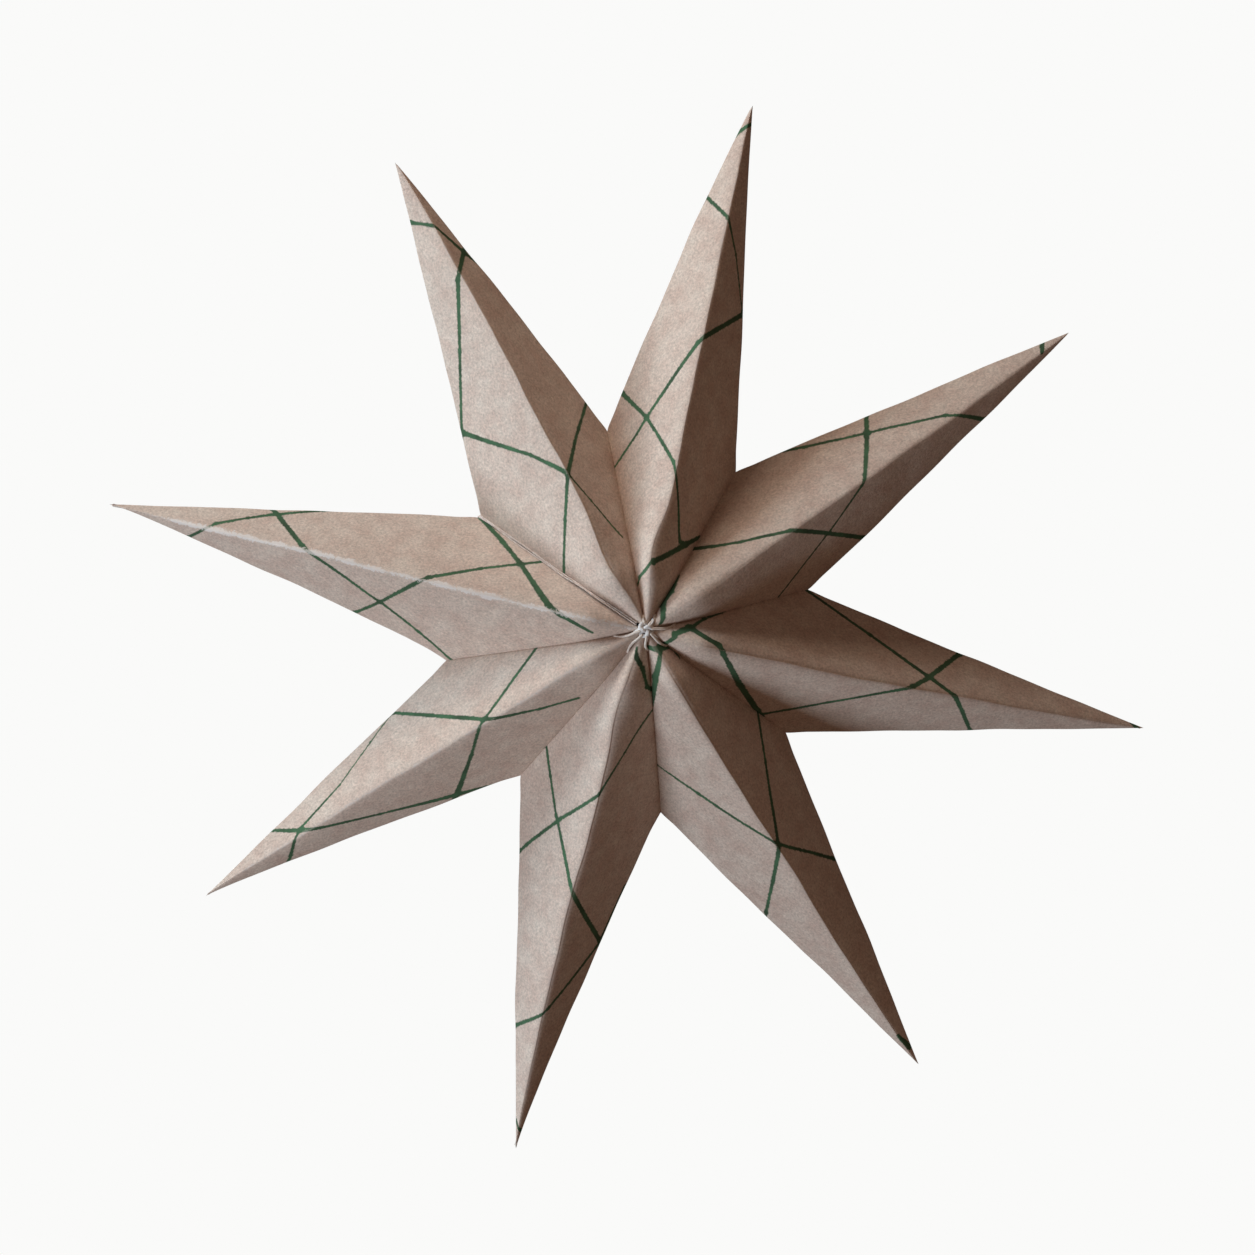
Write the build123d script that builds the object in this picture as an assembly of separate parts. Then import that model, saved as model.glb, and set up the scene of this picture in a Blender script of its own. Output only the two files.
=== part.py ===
"""Folding paper star with eight hollow points around a tied hub, lying on its back.

Axes: +Z out of the star's front, +X to its right, +Y towards its top. The origin is on the hub axis, in
the plane that the back of the star rests on. Points are numbered clockwise as seen from the front, from
the one at the upper left, and the closing seam is between the eighth point and the first.

Each point is one sheet of printed paper, folded along a front ridge, a back ridge and its two side edges
into a hollow pocket. It turns in along the valleys as a narrow flap, which is glued to the next
point's. The two outermost flaps carry end leaves, stuck together with a strip of tape. A thread runs
through the hub and is knotted at the front and at the back.
"""

import os
from math import atan, cos, hypot, radians, sin, tan

from build123d import *

# ---- driving dimensions, millimetres and degrees ----
PAPER = 0.4  # thickness of the handmade sheet
APEX_HEIGHT = 42.0  # ridges and valleys, carried on, meet this far from the middle plane
CROWN_HEIGHT = 37.3  # where a ridge turns over and dips into the hub, from the middle plane
DIMPLE_SLOPE = 19.0  # how steeply the paper dips from the crowns to the hub
THROAT_RADIUS = 3.0  # hole left between the inner ends of the sheets
FLAP_WIDTH = 8.0  # glued strip along each valley
GLUE_GAP = 0.15  # half the clearance between two glued flaps

# the star is hand-made, so no two points are alike: direction and reach of each tip
TIP_ANGLES = [118.0, 77.5, 33.5, -12.5, -58.0, -103.0, -147.5, -192.5]
TIP_REACHES = [146.5, 149.0, 147.5, 149.5, 153.5, 157.5, 147.0, 153.5]
# direction and reach of each notch, the first one between the first and second points
NOTCH_ANGLES = [99.5, 56.5, 9.5, -38.0, -83.5, -127.0, -168.0, -213.0]
NOTCH_REACHES = [54.0, 50.0, 49.0, 53.5, 56.0, 56.0, 56.0, 53.0]

LEAF = 0.5  # thickness of an end leaf
LEAF_PROUD = 0.8  # an end leaf shows by this much along the closing seam
TAPE = 0.2  # thickness of the double-sided tape
TAPE_WIDTH = 9.0
TAPE_INSET = 2.5  # from the leaf's edge to the tape

THREAD_RADIUS = 0.5
KNOT_RADIUS = 2.2
KNOT_HEIGHT = 33.6  # middle of a knot, from the middle plane
TURN_RADIUS = 2.6  # the turn of thread around a knot
TURN_THICKNESS = 0.7

FRONT, BACK = 1, -1
LARGE = 400.0  # larger than the star, for cutting


def at(angle, reach, height=0.0):
    """A position given by its direction and distance from the hub axis."""
    return Vector(reach * cos(radians(angle)), reach * sin(radians(angle)), height)


def crown_reach(tip_reach):
    """How far from the hub axis a ridge comes down to the crown height."""
    return tip_reach * (1 - CROWN_HEIGHT / APEX_HEIGHT)


def facet_plane(tip, notch, side, middle):
    """The plane of one facet, through a tip, a notch and an apex, with its normal away from the middle."""
    apex = Vector(0, 0, side * APEX_HEIGHT)
    normal = (tip - apex).cross(notch - apex).normalized()
    if normal.dot(middle - apex) > 0:
        normal = -normal
    return Plane(origin=apex, z_dir=normal)


def crown_plane(angle, tip_reach, side):
    """The plane where a point's paper dips from its crown towards the hub."""
    slope = radians(DIMPLE_SLOPE)
    inward = at(angle, -1)
    normal = Vector(0, 0, side * cos(slope)) + inward * sin(slope)
    return Plane(origin=at(angle, crown_reach(tip_reach), side * CROWN_HEIGHT), z_dir=normal)


def flap_plane(angle, turn, clearance):
    """The plane of the flaps along one notch, held back from it. turn is 1 on its anticlockwise side."""
    outward = at(angle + turn * 90, 1)
    return Plane(origin=outward * -clearance, z_dir=outward)


def point_planes(number):
    """The eight planes that bound one point, each with its normal outwards."""
    angle, reach = TIP_ANGLES[number], TIP_REACHES[number]
    sides = [(number - 1) % len(TIP_ANGLES), number]
    tip = at(angle, reach)
    middle = at(angle, reach / 3)
    planes = []
    for turn, notch in zip((1, -1), sides):
        notch_angle = NOTCH_ANGLES[notch]
        position = at(notch_angle, NOTCH_REACHES[notch])
        clearance = SEAM_CLEARANCE if notch == SEAM else GLUE_GAP
        planes.append(flap_plane(notch_angle, turn, clearance))
        planes += [facet_plane(tip, position, side, middle) for side in (FRONT, BACK)]
    planes += [crown_plane(angle, reach, side) for side in (FRONT, BACK)]
    return planes


def between(planes, inset=0.0):
    """The solid inside a set of planes, each moved inwards by the same distance."""
    body = Box(LARGE, LARGE, LARGE).solid()
    for plane in planes:
        body = body.split(plane.offset(-inset), keep=Keep.BOTTOM)
    return body


def flap_window(notch):
    """What is cut out of the flaps along one notch: all but the strips beside the valleys."""
    reach = NOTCH_REACHES[notch]
    slope = atan(APEX_HEIGHT / reach)
    out = reach - FLAP_WIDTH / sin(slope)
    up = APEX_HEIGHT - FLAP_WIDTH / cos(slope)
    radial = Plane(origin=(0, 0, 0), x_dir=at(NOTCH_ANGLES[notch], 1), z_dir=at(NOTCH_ANGLES[notch] - 90, 1))
    outline = radial * make_face(Polyline((0, up), (out, 0), (0, -up), close=True))
    return extrude(outline, WINDOW_DEPTH, both=True)


def point_sheet(number):
    """One point: the hollow pocket with its flaps, open at the hub."""
    planes = point_planes(number)
    sheet = between(planes) - between(planes, PAPER)
    sheet -= flap_window((number - 1) % len(TIP_ANGLES))
    sheet -= flap_window(number)
    return sheet - Cylinder(THROAT_RADIUS, LARGE)


def seam_plane():
    """The closing seam's plane, with X away from the hub, Y up and Z towards the eighth point."""
    angle = NOTCH_ANGLES[SEAM]
    return Plane(origin=(0, 0, 0), x_dir=at(angle, 1), z_dir=at(angle + 90, 1))


def leaf_outline(grow):
    """An end leaf's corners, from its front corner at the hub to the notch and back, grown by a margin."""
    reach = NOTCH_REACHES[SEAM]
    dip = tan(radians(DIMPLE_SLOPE))
    floor = CROWN_HEIGHT - crown_reach(TIP_REACHES[0]) * dip
    bend = (APEX_HEIGHT - floor) / (dip + APEX_HEIGHT / reach)
    inner = THROAT_RADIUS + LEAF
    corners = [(inner, floor + dip * inner + grow), (bend, floor + dip * bend + grow)]
    nose = (reach + grow * hypot(1, reach / APEX_HEIGHT), 0)
    return corners + [nose] + [(out, -up) for out, up in reversed(corners)]


def end_leaf(side):
    """One of the two leaves that close the star. side is 1 for the eighth point's and -1 for the first's."""
    outline = make_face(Polyline(*leaf_outline(LEAF_PROUD), close=True))
    leaf = extrude(outline, LEAF)
    lift = TAPE / 2 if side > 0 else -TAPE / 2 - LEAF
    return seam_plane() * Pos(0, 0, lift) * leaf


def closing_tape():
    """The strip of double-sided tape along the leaves' edges, shaped like a V."""
    whole = make_face(Polyline(*leaf_outline(-TAPE_INSET), close=True))
    inner = make_face(Polyline(*leaf_outline(-TAPE_INSET - TAPE_WIDTH), close=True))
    inner = Pos(-TAPE_WIDTH, 0, 0) * inner
    strip = extrude(whole - inner, TAPE / 2, both=True)
    keep_out = Box(LARGE, LARGE, LARGE, align=(Align.MAX, Align.CENTER, Align.CENTER))
    return seam_plane() * (strip - Pos(THROAT_RADIUS + TAPE_WIDTH, 0, 0) * keep_out)


def hub_thread():
    """The thread through the hub, with a knot and a turn of thread at each end."""
    thread = Cylinder(THREAD_RADIUS, 2 * KNOT_HEIGHT)
    for side in (FRONT, BACK):
        thread += Pos(0, 0, side * KNOT_HEIGHT) * Sphere(KNOT_RADIUS)
        thread += Pos(0, 0, side * KNOT_HEIGHT) * Torus(TURN_RADIUS, TURN_THICKNESS)
    return thread


SEAM = len(NOTCH_ANGLES) - 1  # the closing seam's notch
SEAM_CLEARANCE = TAPE / 2 + LEAF + GLUE_GAP
WINDOW_DEPTH = 2 * (SEAM_CLEARANCE + PAPER)

parts = {f"point_{number + 1}_sheet": point_sheet(number) for number in range(len(TIP_ANGLES))}
parts["end_leaf_1"] = end_leaf(-1)
parts["end_leaf_8"] = end_leaf(1)
parts["closing_tape"] = closing_tape()
parts["hub_thread"] = hub_thread()

os.makedirs("parts", exist_ok=True)
for name, shape in parts.items():
    export_step(Pos(0, 0, CROWN_HEIGHT) * shape, f"parts/{name}.step")
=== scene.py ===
"""Folding paper star: the looks of its eight printed points, end leaves, tape and hub thread.

Every length is in metres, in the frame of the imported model: +Z out of the star's front, +X to its right and
+Y towards its top, with the hub on the Z axis. Places are worked out from the frame's nodes.
"""

from collections import namedtuple

import bmesh
import bpy
import numpy as np
from bpy.props import FloatProperty, FloatVectorProperty, IntProperty, PointerProperty
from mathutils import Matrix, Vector


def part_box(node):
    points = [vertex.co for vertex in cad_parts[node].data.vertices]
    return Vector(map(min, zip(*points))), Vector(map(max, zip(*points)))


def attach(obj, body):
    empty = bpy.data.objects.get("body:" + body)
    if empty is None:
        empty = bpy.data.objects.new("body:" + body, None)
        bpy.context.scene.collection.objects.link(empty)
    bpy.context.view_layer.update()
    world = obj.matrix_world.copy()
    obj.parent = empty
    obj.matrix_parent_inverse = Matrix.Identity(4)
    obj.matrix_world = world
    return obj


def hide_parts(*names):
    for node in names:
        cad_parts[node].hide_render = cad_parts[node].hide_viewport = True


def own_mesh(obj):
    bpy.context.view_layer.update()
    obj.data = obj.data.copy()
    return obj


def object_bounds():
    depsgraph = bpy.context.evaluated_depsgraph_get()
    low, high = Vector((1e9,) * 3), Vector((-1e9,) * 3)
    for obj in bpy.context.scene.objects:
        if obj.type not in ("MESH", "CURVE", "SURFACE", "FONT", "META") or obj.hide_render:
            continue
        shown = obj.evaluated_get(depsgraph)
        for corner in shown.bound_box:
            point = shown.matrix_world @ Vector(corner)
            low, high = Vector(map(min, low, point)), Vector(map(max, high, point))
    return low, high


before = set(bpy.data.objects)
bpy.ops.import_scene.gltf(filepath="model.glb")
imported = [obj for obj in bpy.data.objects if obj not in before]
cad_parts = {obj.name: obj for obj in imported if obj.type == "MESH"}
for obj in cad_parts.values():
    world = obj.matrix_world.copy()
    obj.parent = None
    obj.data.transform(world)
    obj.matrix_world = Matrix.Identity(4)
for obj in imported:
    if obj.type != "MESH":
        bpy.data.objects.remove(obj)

CAD_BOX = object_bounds()
MM = 0.001
MIDDLE = (CAD_BOX[0][2] + CAD_BOX[1][2]) / 2  # height of the plane that halves the star's depth
POINTS = range(1, 9)
LEFT, RIGHT = 1, -1  # anticlockwise and clockwise of a ridge, seen from the front
FRONT, BACK = 1, -1
INWARDS, BOTH_WAYS = -1, 0  # where a sheet's thickness goes
SEED = 20
UP = (0.0, 0.0, 1.0)
SEAM_OPENING = 0.55  # how much of the frame's clearance the closing seam keeps

bl_info = {
    "name": "Folding Paper Star",
    "version": (1, 0, 0),
    "blender": (4, 5, 0),
    "location": "View3D > Sidebar > Paper Star",
    "description": "Hand-printed paper star with eight hollow points around a knotted hub",
    "category": "Add Mesh",
}


# ---- sizes and colours that a user would change ----

def linear(code):
    """A colour given as an sRGB hex code, turned to linear light."""
    shares = np.array([int(code[at:at + 2], 16) for at in (1, 3, 5)]) / 255
    return tuple(np.where(shares <= 0.04045, shares / 12.92, ((shares + 0.055) / 1.055) ** 2.4))


def length(name, description, default):
    """A property that holds a length."""
    return FloatProperty(name=name, description=description, default=default, min=0.0, unit="LENGTH")


def colour(name, description, code):
    """A property that holds a colour."""
    return FloatVectorProperty(name=name, description=description, default=linear(code), subtype="COLOR",
                               min=0.0, max=1.0)


class StarSizes(bpy.types.PropertyGroup):
    """Sizes that the frame doesn't give."""

    paper: length("Paper", "Thickness of the handmade paper", 0.4 * MM)
    shoulder: length("Shoulder", "How softly the paper turns down into a valley", 0.3 * MM)
    roll_radius: length("Roll", "How much more softly the broadest ridges turn over near the hub", 3 * MM)
    edge_radius: length("Edge roundness", "How softly the paper turns over a side edge", 0.4 * MM)
    throat: length("Throat", "How near to the hub axis the paper comes", 1.8 * MM)
    flap: length("Flap", "Width of the glued strip along each valley", 8 * MM)
    crown: length("Crown", "How far from the hub axis the ridges begin to dip", 16.5 * MM)
    dip: FloatProperty(name="Dip", description="Slope of the dip at the hub", default=0.52, min=0.0)
    bulge: length("Bulge", "How far a facet may bow out between its folds", 0.9 * MM)
    wander: length("Wander", "How far a fold may leave its straight line", 0.45 * MM)
    rows: IntProperty(name="Rows", description="Steps from the hub to the tip", default=150, min=20)
    columns: IntProperty(name="Columns", description="Steps across a facet", default=26, min=6)
    leaf: length("Leaf", "Thickness of an end leaf", 0.35 * MM)
    leaf_proud: length("Leaf proud", "How far the eighth point's leaf stands out of the seam", 1.1 * MM)
    tape: length("Tape", "Thickness of the double-sided tape", 0.1 * MM)
    tape_width: length("Tape width", "Width of the double-sided tape", 9 * MM)
    tape_inset: length("Tape inset", "From the leaves' edges to the tape", 2.5 * MM)
    thread: length("Thread", "Thickness of the two-ply thread", 1.3 * MM)


class StarColours(bpy.types.PropertyGroup):
    """Colours of the finishes."""

    paper: colour("Paper", "Undyed rag paper, its palest patches", "#E0D0C3")
    blush: colour("Blush", "Pinker patches where the pulp is thicker", "#D3BBAE")
    fold: colour("Worn fold", "Paper rubbed pale along a fold", "#F3ECE8")
    core: colour("Paper core", "The raw cut edge of the paper", "#F2ECE6")
    ink: colour("Ink", "Screen-printed line", "#2A4A32")
    ink_thin: colour("Thin ink", "Where the ink is thin over the paper's grain", "#437150")
    leaf: colour("Leaf", "End leaves, pinkish white", "#F4EAE4")
    tape: colour("Tape", "Double-sided tape", "#E4DFD0")
    thread: colour("Thread", "Bleached cotton thread", "#E2E9EE")
    floor: colour("Floor", "Pale studio floor and backdrop, as the eye sees them", "#FAFAF9")
    board: colour("Board", "What the floor throws back onto the star", "#6F594D")
    room: colour("Room", "Dim warm light of the room", "#635145")


# ---- what the frame says ----

Point = namedtuple("Point", "number tip notches gaps apex")


def corners_of(node):
    """A CAD node's corners, one row each, with heights measured from the middle plane."""
    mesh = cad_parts[node].data
    corners = np.empty(len(mesh.vertices) * 3)
    mesh.vertices.foreach_get("co", corners)
    return corners.reshape(-1, 3) - (0, 0, MIDDLE)


def outline_of(number):
    """A point's tip, its corner at each notch and the height where its ridges would meet over the hub.

    The tip is the corner farthest from the hub axis, and a notch corner the next farthest in the middle
    plane on that side of it. The crown is the highest corner, and a straight line from the tip over it gives
    the apex.
    """
    corners = corners_of(f"point_{number}_sheet")
    flat = corners[abs(corners[:, 2]) < 0.1 * MM, :2]
    reach = np.hypot(*flat.T)
    tip = flat[reach.argmax()]
    off = (tip[0] * flat[:, 1] - tip[1] * flat[:, 0]) / reach.max()
    found = {}
    for side in (LEFT, RIGHT):
        there = flat[side * off > MM]
        found[side] = there[np.hypot(*there.T).argmax()]
    crown = corners[corners[:, 2].argmax()]
    apex = crown[2] / (1 - np.hypot(crown[0], crown[1]) / reach.max())
    return tip, found, apex


def read_points():
    """All eight points. Neighbours share a notch, halfway between their two corners there.

    The glue line between two flaps is thinner than the eye sees, so only the closing seam keeps a gap.
    """
    outlines = {number: outline_of(number) for number in POINTS}
    points = []
    for number in POINTS:
        tip, found, apex = outlines[number]
        notches, gaps = {}, {}
        for side in (LEFT, RIGHT):
            neighbour = (number - 1 - side) % len(POINTS) + 1
            notches[side] = (found[side] + outlines[neighbour][1][-side]) / 2
            opening = SEAM_OPENING if {number, neighbour} == {POINTS[0], POINTS[-1]} else 0.0
            gaps[side] = (found[side] - notches[side]) * opening
        points.append(Point(number, tip, notches, gaps, apex))
    return points


STAR = read_points()


# ---- shared shape and mesh helpers ----

def soft_step(x, low, high):
    """0 below low, 1 above high, and a smooth S between them: 3x² - 2x³ of the share."""
    share = np.clip((x - low) / (high - low), 0, 1)
    return share * share * (3 - 2 * share)


def wave(shares, seed, turns=(1.3, 2.9, 5.3, 9.1)):
    """A smooth seeded wander along a line, about -1 to 1: sines of rising pace and falling height."""
    draw = np.random.default_rng(seed)
    total = np.zeros_like(shares)
    for pace in turns:
        total += np.sin(2 * np.pi * (pace * shares * draw.uniform(0.8, 1.2) + draw.uniform())) / pace ** 0.7
    return total / 1.6


def ruled(along, across, start, tip, notch, bend):
    """Points of a facet: straight lines from its ridge to its boundary.

    The ridge runs straight from start to tip. The boundary runs from start to the notch while along is below
    bend, and then on from the notch to the tip. across is 0 on the ridge and 1 on the boundary.
    """
    start, tip, notch = (np.asarray(place, float) for place in (start, tip, notch))
    share = along[..., None]
    ridge = start + share * (tip - start)
    inner = start + share / bend * (notch - start)
    outer = notch + (share - bend) / (1 - bend) * (tip - notch)
    boundary = np.where(share < bend, inner, outer)
    return ridge + across[..., None] * (boundary - ridge)


def quads(rows, columns, flip):
    """The four corner numbers of every face of a grid, whose normal is along rows crossed with columns."""
    first = (np.arange(rows - 1)[:, None] * columns + np.arange(columns - 1)).reshape(-1, 1)
    faces = first + np.array([0, columns, columns + 1, 1])
    return faces[:, ::-1] if flip else faces


def mesh_piece(name, patches, materials, crease=40):
    """A new piece from grids of points, each (places, faces, flat places or None, ridge gaps or None).

    Grids that share an edge are merged there, and what turns by more than crease degrees shades sharp.
    """
    places = np.concatenate([patch[0].reshape(-1, 3) for patch in patches])
    starts = np.cumsum([0] + [patch[0].reshape(-1, 3).shape[0] for patch in patches[:-1]])
    faces = np.concatenate([patch[1] + start for patch, start in zip(patches, starts)])
    mesh = bpy.data.meshes.new(name)
    mesh.from_pydata(places.tolist(), [], faces.tolist())
    if patches[0][2] is not None:
        flat = np.concatenate([patch[2].reshape(-1, 2) for patch in patches])
        corners = flat[faces.ravel()].ravel().astype(np.float32)
        mesh.uv_layers.new(name="sheet").data.foreach_set("uv", corners)
    if patches[0][3] is not None:
        gaps = np.concatenate([patch[3].ravel() for patch in patches])
        mesh.attributes.new("ridge_gap", "FLOAT", "POINT").data.foreach_set("value", gaps.astype(np.float32))
    joined = bmesh.new()
    joined.from_mesh(mesh)
    bmesh.ops.remove_doubles(joined, verts=joined.verts, dist=0.001 * MM)
    joined.to_mesh(mesh)
    joined.free()
    mesh.shade_smooth()
    mesh.set_sharp_from_angle(angle=np.radians(crease))
    for material in materials:
        mesh.materials.append(material)
    piece = bpy.data.objects.new(name, mesh)
    bpy.context.scene.collection.objects.link(piece)
    return piece


def tube(path, reference, radius, ply=0.0, twist=0.0, around=16):
    """A closed tube carried along a path, with a ring of points about each of its points.

    The ring's first axis is the reference with its part along the path taken away, and its second axis
    is at right angles to both. The radius closes to nothing at both ends over a length of one radius. ply
    makes the ring an oval that turns as it goes, like two strands twisted together.
    """
    tangent = np.gradient(path, axis=0)
    step = np.linalg.norm(tangent, axis=1, keepdims=True)
    tangent /= step
    first = reference - (reference * tangent).sum(1, keepdims=True) * tangent
    first /= np.linalg.norm(first, axis=1, keepdims=True)
    second = np.cross(tangent, first)
    run = np.concatenate([[0], np.cumsum(np.linalg.norm(np.diff(path, axis=0), axis=1))])
    end = np.clip(np.minimum(run, run[-1] - run) / radius, 0, 1)
    size = radius * np.sqrt(1 - (1 - end) ** 2)
    angle = np.linspace(0, 2 * np.pi, around + 1)
    oval = 1 + ply * np.cos(2 * (angle - twist * run[:, None]))
    ring = np.cos(angle)[None, :, None] * first[:, None] + np.sin(angle)[None, :, None] * second[:, None]
    places = path[:, None] + ring * (size[:, None] * oval)[..., None]
    return places, quads(len(path), around + 1, True), None, None


def thicken(sheet, thickness, offset):
    """Give a sheet its thickness, and return the modifier that does it."""
    wall = sheet.modifiers.new("Thickness", "SOLIDIFY")
    wall.thickness = thickness
    wall.offset = offset
    return wall


def settle(piece, body, replaced, point=None):
    """Attach a piece to the body that it moves with and hide the frame's parts that it stands for. A point's
    piece gets a mesh of its own.
    """
    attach(piece, body)
    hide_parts(*replaced)
    if point is not None:
        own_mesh(piece)


# ---- the shape of the paper ----

# what handwork made uneven. bow: how far the left and the right side edge stand out of their straight line;
# lean and hub_lean: how far the ridge lies to the left of its own, along the point and close to the hub;
# ridge: how softly the paper turns over the ridge; all in millimetres. roll: how much more broadly it turns
# near the hub. wear: how far the ridge is rubbed, from 0 to 1
Making = namedtuple("Making", "bow lean hub_lean ridge roll wear")
MAKING = {
    1: Making({LEFT: 0.3, RIGHT: 1.2}, -1.6, 1.8, 1.2, 0.6, 0.3),
    2: Making({LEFT: 1.9, RIGHT: 0.2}, 0.7, 2.6, 1.0, 0.7, 0.2),
    3: Making({LEFT: 0.8, RIGHT: 1.1}, -0.9, 0.0, 1.2, 1.1, 0.1),
    4: Making({LEFT: 0.2, RIGHT: 0.4}, -1.4, -0.2, 2.4, 1.0, 0.1),
    5: Making({LEFT: 0.4, RIGHT: 0.5}, -1.3, 0.0, 1.1, 0.6, 0.2),
    6: Making({LEFT: -1.0, RIGHT: 0.9}, -2.1, -1.3, 1.3, 0.9, 0.2),
    7: Making({LEFT: -0.6, RIGHT: 0.3}, -1.1, -1.0, 2.0, 0.8, 0.3),
    8: Making({LEFT: -1.5, RIGHT: 0.7}, 0.3, 0.0, 0.8, 0.5, 0.8),
}

CROWN_SOFTNESS = 1.3 * MM  # how softly the dip sets in
ROLL_REACH = 40 * MM  # how far from the hub axis the ridges turn over more softly
STEEP_REACH = 24 * MM  # how far from the hub axis the facets are hollow beside the ridge
HUB_LEAN_AT, HUB_LEAN_SPAN = 0.15, 0.07  # where along a ridge it leans near the hub, and over what share
EDGE_ONSET = 0.04  # the share of a ridge over which a side edge's rounding sets in beyond the notch
INNER_ROWS = 0.42  # the share of a grid's rows that lie between the hub and the notches
TIP_GAP, FLAP_GAP = 2.5, 20.0  # millimetres that keep the tip and the flaps from being rubbed like a ridge


def hub_drop(reach, sizes):
    """How far the paper dips below its straight run near the hub.

    It is the dip's slope times the soft size of what is missing to the crown: the logarithm of one plus its
    exponential.
    """
    short = (sizes.crown - reach) / CROWN_SOFTNESS
    return sizes.dip * CROWN_SOFTNESS * np.logaddexp(0, short)


def valley_height(point, side, reach, sizes):
    """Height of a valley above the middle plane at some distance from the hub axis."""
    far = np.hypot(*point.notches[side])
    return point.apex * (1 - reach / far) - hub_drop(reach, sizes)


def flat_corners(point, side):
    """The tip and a notch on the flat sheet, in millimetres along and across the ridge from the apex."""
    apex = np.array([0, 0, point.apex])
    ridge = np.append(point.tip, 0) - apex
    total = np.linalg.norm(ridge)
    edge = np.append(point.notches[side], 0) - apex
    along = edge @ ridge / total
    across = np.sqrt(edge @ edge - along ** 2)
    return np.array([total, 0]) / MM, np.array([along, side * across]) / MM


def bend_of(point):
    """The share of the ridge opposite the notches, the mean of the two sides."""
    corners = [flat_corners(point, side) for side in (LEFT, RIGHT)]
    return sum(notch[0] / tip[0] for tip, notch in corners) / 2


def row_shares(point, sizes):
    """Where the rows of a point's grid cross its ridge: closer near the hub, and one row at the notches."""
    bend = bend_of(point)
    inner_rows = int(sizes.rows * INNER_ROWS)
    steps = np.linspace(0, 1, inner_rows)
    inner = sizes.throat / np.hypot(*point.tip)
    near = inner + (bend - inner) * (0.45 * steps + 0.55 * steps ** 2)
    return near, np.linspace(bend, 1, sizes.rows - inner_rows + 1)[1:]


def column_shares(sizes):
    """Where the columns of a facet lie: half a cosine wave, closest at the ridge and at the boundary."""
    return (1 - np.cos(np.linspace(0, np.pi, sizes.columns + 1))) / 2


def facet(point, side, facing, sizes):
    """One facet of a point: its places, its places on the flat sheet, and how far it is from the ridge.

    The straight facet is ruled from ridge to boundary. Its ridge is rounded by taking the root of the share
    across squared plus a bluntness squared, less that bluntness, and raising it to a power that grows near
    the hub. The height also gets a bow between the folds, the dip at the hub and a shoulder that falls away
    exponentially from the valley, and the plan a lean, a rounded side edge and a seeded wander.
    """
    bend = bend_of(point)
    near, far = row_shares(point, sizes)
    along, across = np.meshgrid(np.append(near, far), column_shares(sizes), indexing="ij")
    notch = point.notches[side]
    tip, apex = point.tip, point.apex
    corners = (0, 0, apex), (*tip, 0), (*notch, 0)
    straight = ruled(along, across, *corners, bend)
    ridge = ruled(along, 0 * across, *corners, bend)
    boundary = ruled(along, 0 * across + 1, *corners, bend)
    out = boundary[..., :2] - ridge[..., :2]
    width = np.hypot(out[..., 0], out[..., 1])
    out /= np.maximum(width, 0.001 * MM)[..., None]
    rise = ridge[..., 2] - boundary[..., 2]

    # height above the middle plane
    making = MAKING[point.number]
    reach = along * np.hypot(*tip)
    near_hub = making.roll * np.exp(-(reach / STEEP_REACH) ** 2)
    radius = making.ridge * MM + sizes.roll_radius * making.roll * np.exp(-(reach / ROLL_REACH) ** 2)
    blunt = radius / (width + 3 * radius) * (1 - across ** 2)
    rounded = np.hypot(across, blunt) - blunt
    height = boundary[..., 2] + rise * (1 - rounded ** (1 + 0.6 * near_hub) - blunt)
    draw = np.random.default_rng([SEED, point.number, side + 1, facing + 1])
    bow = sizes.bulge * draw.uniform(0.1, 1.0)
    ripple = 0.35 * sizes.bulge * wave(along, [SEED, 7, point.number, side + 1, facing + 1])
    height += 4 * across * (1 - across) * np.sin(np.pi * along) * (bow + ripple)
    settled = np.sin(np.pi * along) * (1 - across)
    lean = making.lean * np.sqrt(np.clip(4 * along * (1 - along), 0, None))
    hub_lean = making.hub_lean * np.exp(-((along - HUB_LEAN_AT) / HUB_LEAN_SPAN) ** 2)
    lean = (lean + hub_lean) * MM * (1 - across)
    height += settled * 0.6 * sizes.wander * wave(along, [SEED, 3, point.number, facing + 1])
    height -= hub_drop(np.hypot(straight[..., 0], straight[..., 1]), sizes)
    inset = (1 - across) * width
    height -= sizes.shoulder * np.exp(-inset / sizes.shoulder) * soft_step(bend - along, 0, 0.05)

    # place in plan
    plan = straight[..., :2].copy()
    plan += (across * np.clip((1 - along) / (1 - bend), 0, 1))[..., None] * point.gaps[side]
    sideways = np.array([-tip[1], tip[0]]) / np.hypot(*tip)
    drift = settled * sizes.wander * wave(along, [SEED, 5, point.number, facing + 1])
    plan += (drift + lean)[..., None] * sideways
    beyond = soft_step(along, bend, bend + EDGE_ONSET)
    edge_radius = sizes.edge_radius * width / (width + 3 * sizes.edge_radius)
    pull = beyond * (np.hypot(inset, edge_radius) - inset)
    free = np.clip((along - bend) / (1 - bend), 0, 1)
    sway = sizes.wander * np.sin(np.pi * free) * wave(along, [SEED, 9, point.number, side + 1])
    sway += making.bow[side] * MM * (4 * free * (1 - free)) ** 0.6
    plan += (across * sway - pull)[..., None] * out
    places = np.concatenate([plan, facing * height[..., None]], axis=-1)

    # place on the flat sheet, which the back carries on over the side edge
    tip_flat, notch_flat = flat_corners(point, side)
    flat = ruled(along, across, (0, 0), tip_flat, notch_flat, bend)
    edge_line = (notch_flat - tip_flat) / np.linalg.norm(notch_flat - tip_flat)
    rest = (flat - tip_flat) - ((flat - tip_flat) @ edge_line)[..., None] * edge_line
    gap = abs(flat[..., 1]) + TIP_GAP * soft_step(along, 0.85, 1.0)
    if facing == BACK:
        flat = flat - 2 * rest
    return places, flat, gap


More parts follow.
